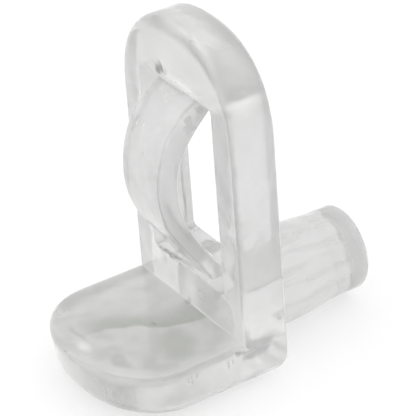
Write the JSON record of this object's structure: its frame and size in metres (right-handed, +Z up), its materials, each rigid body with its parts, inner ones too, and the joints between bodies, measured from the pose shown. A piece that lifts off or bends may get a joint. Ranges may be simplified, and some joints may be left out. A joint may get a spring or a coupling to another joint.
{
  "type": "shelf support peg",
  "caption": "Clear plastic shelf support with a round peg, a flat rest and an arched upright whose bowed spring grips the shelf's edge.",
  "frame": {"origin": "on the peg's axis, in the plane of the plate's back face, where the mouth of the wall's hole lies", "axes": "+Y along the peg into the cabinet wall, +Z up the plate, +X across it"},
  "size_m": [0.0102, 0.0169, 0.0188],
  "materials": {
    "clear_polycarbonate": "clear, smooth as moulded"
  },
  "bodies": {
    "root": {"shelf_support": "clear_polycarbonate"}
  },
  "joints": []
}
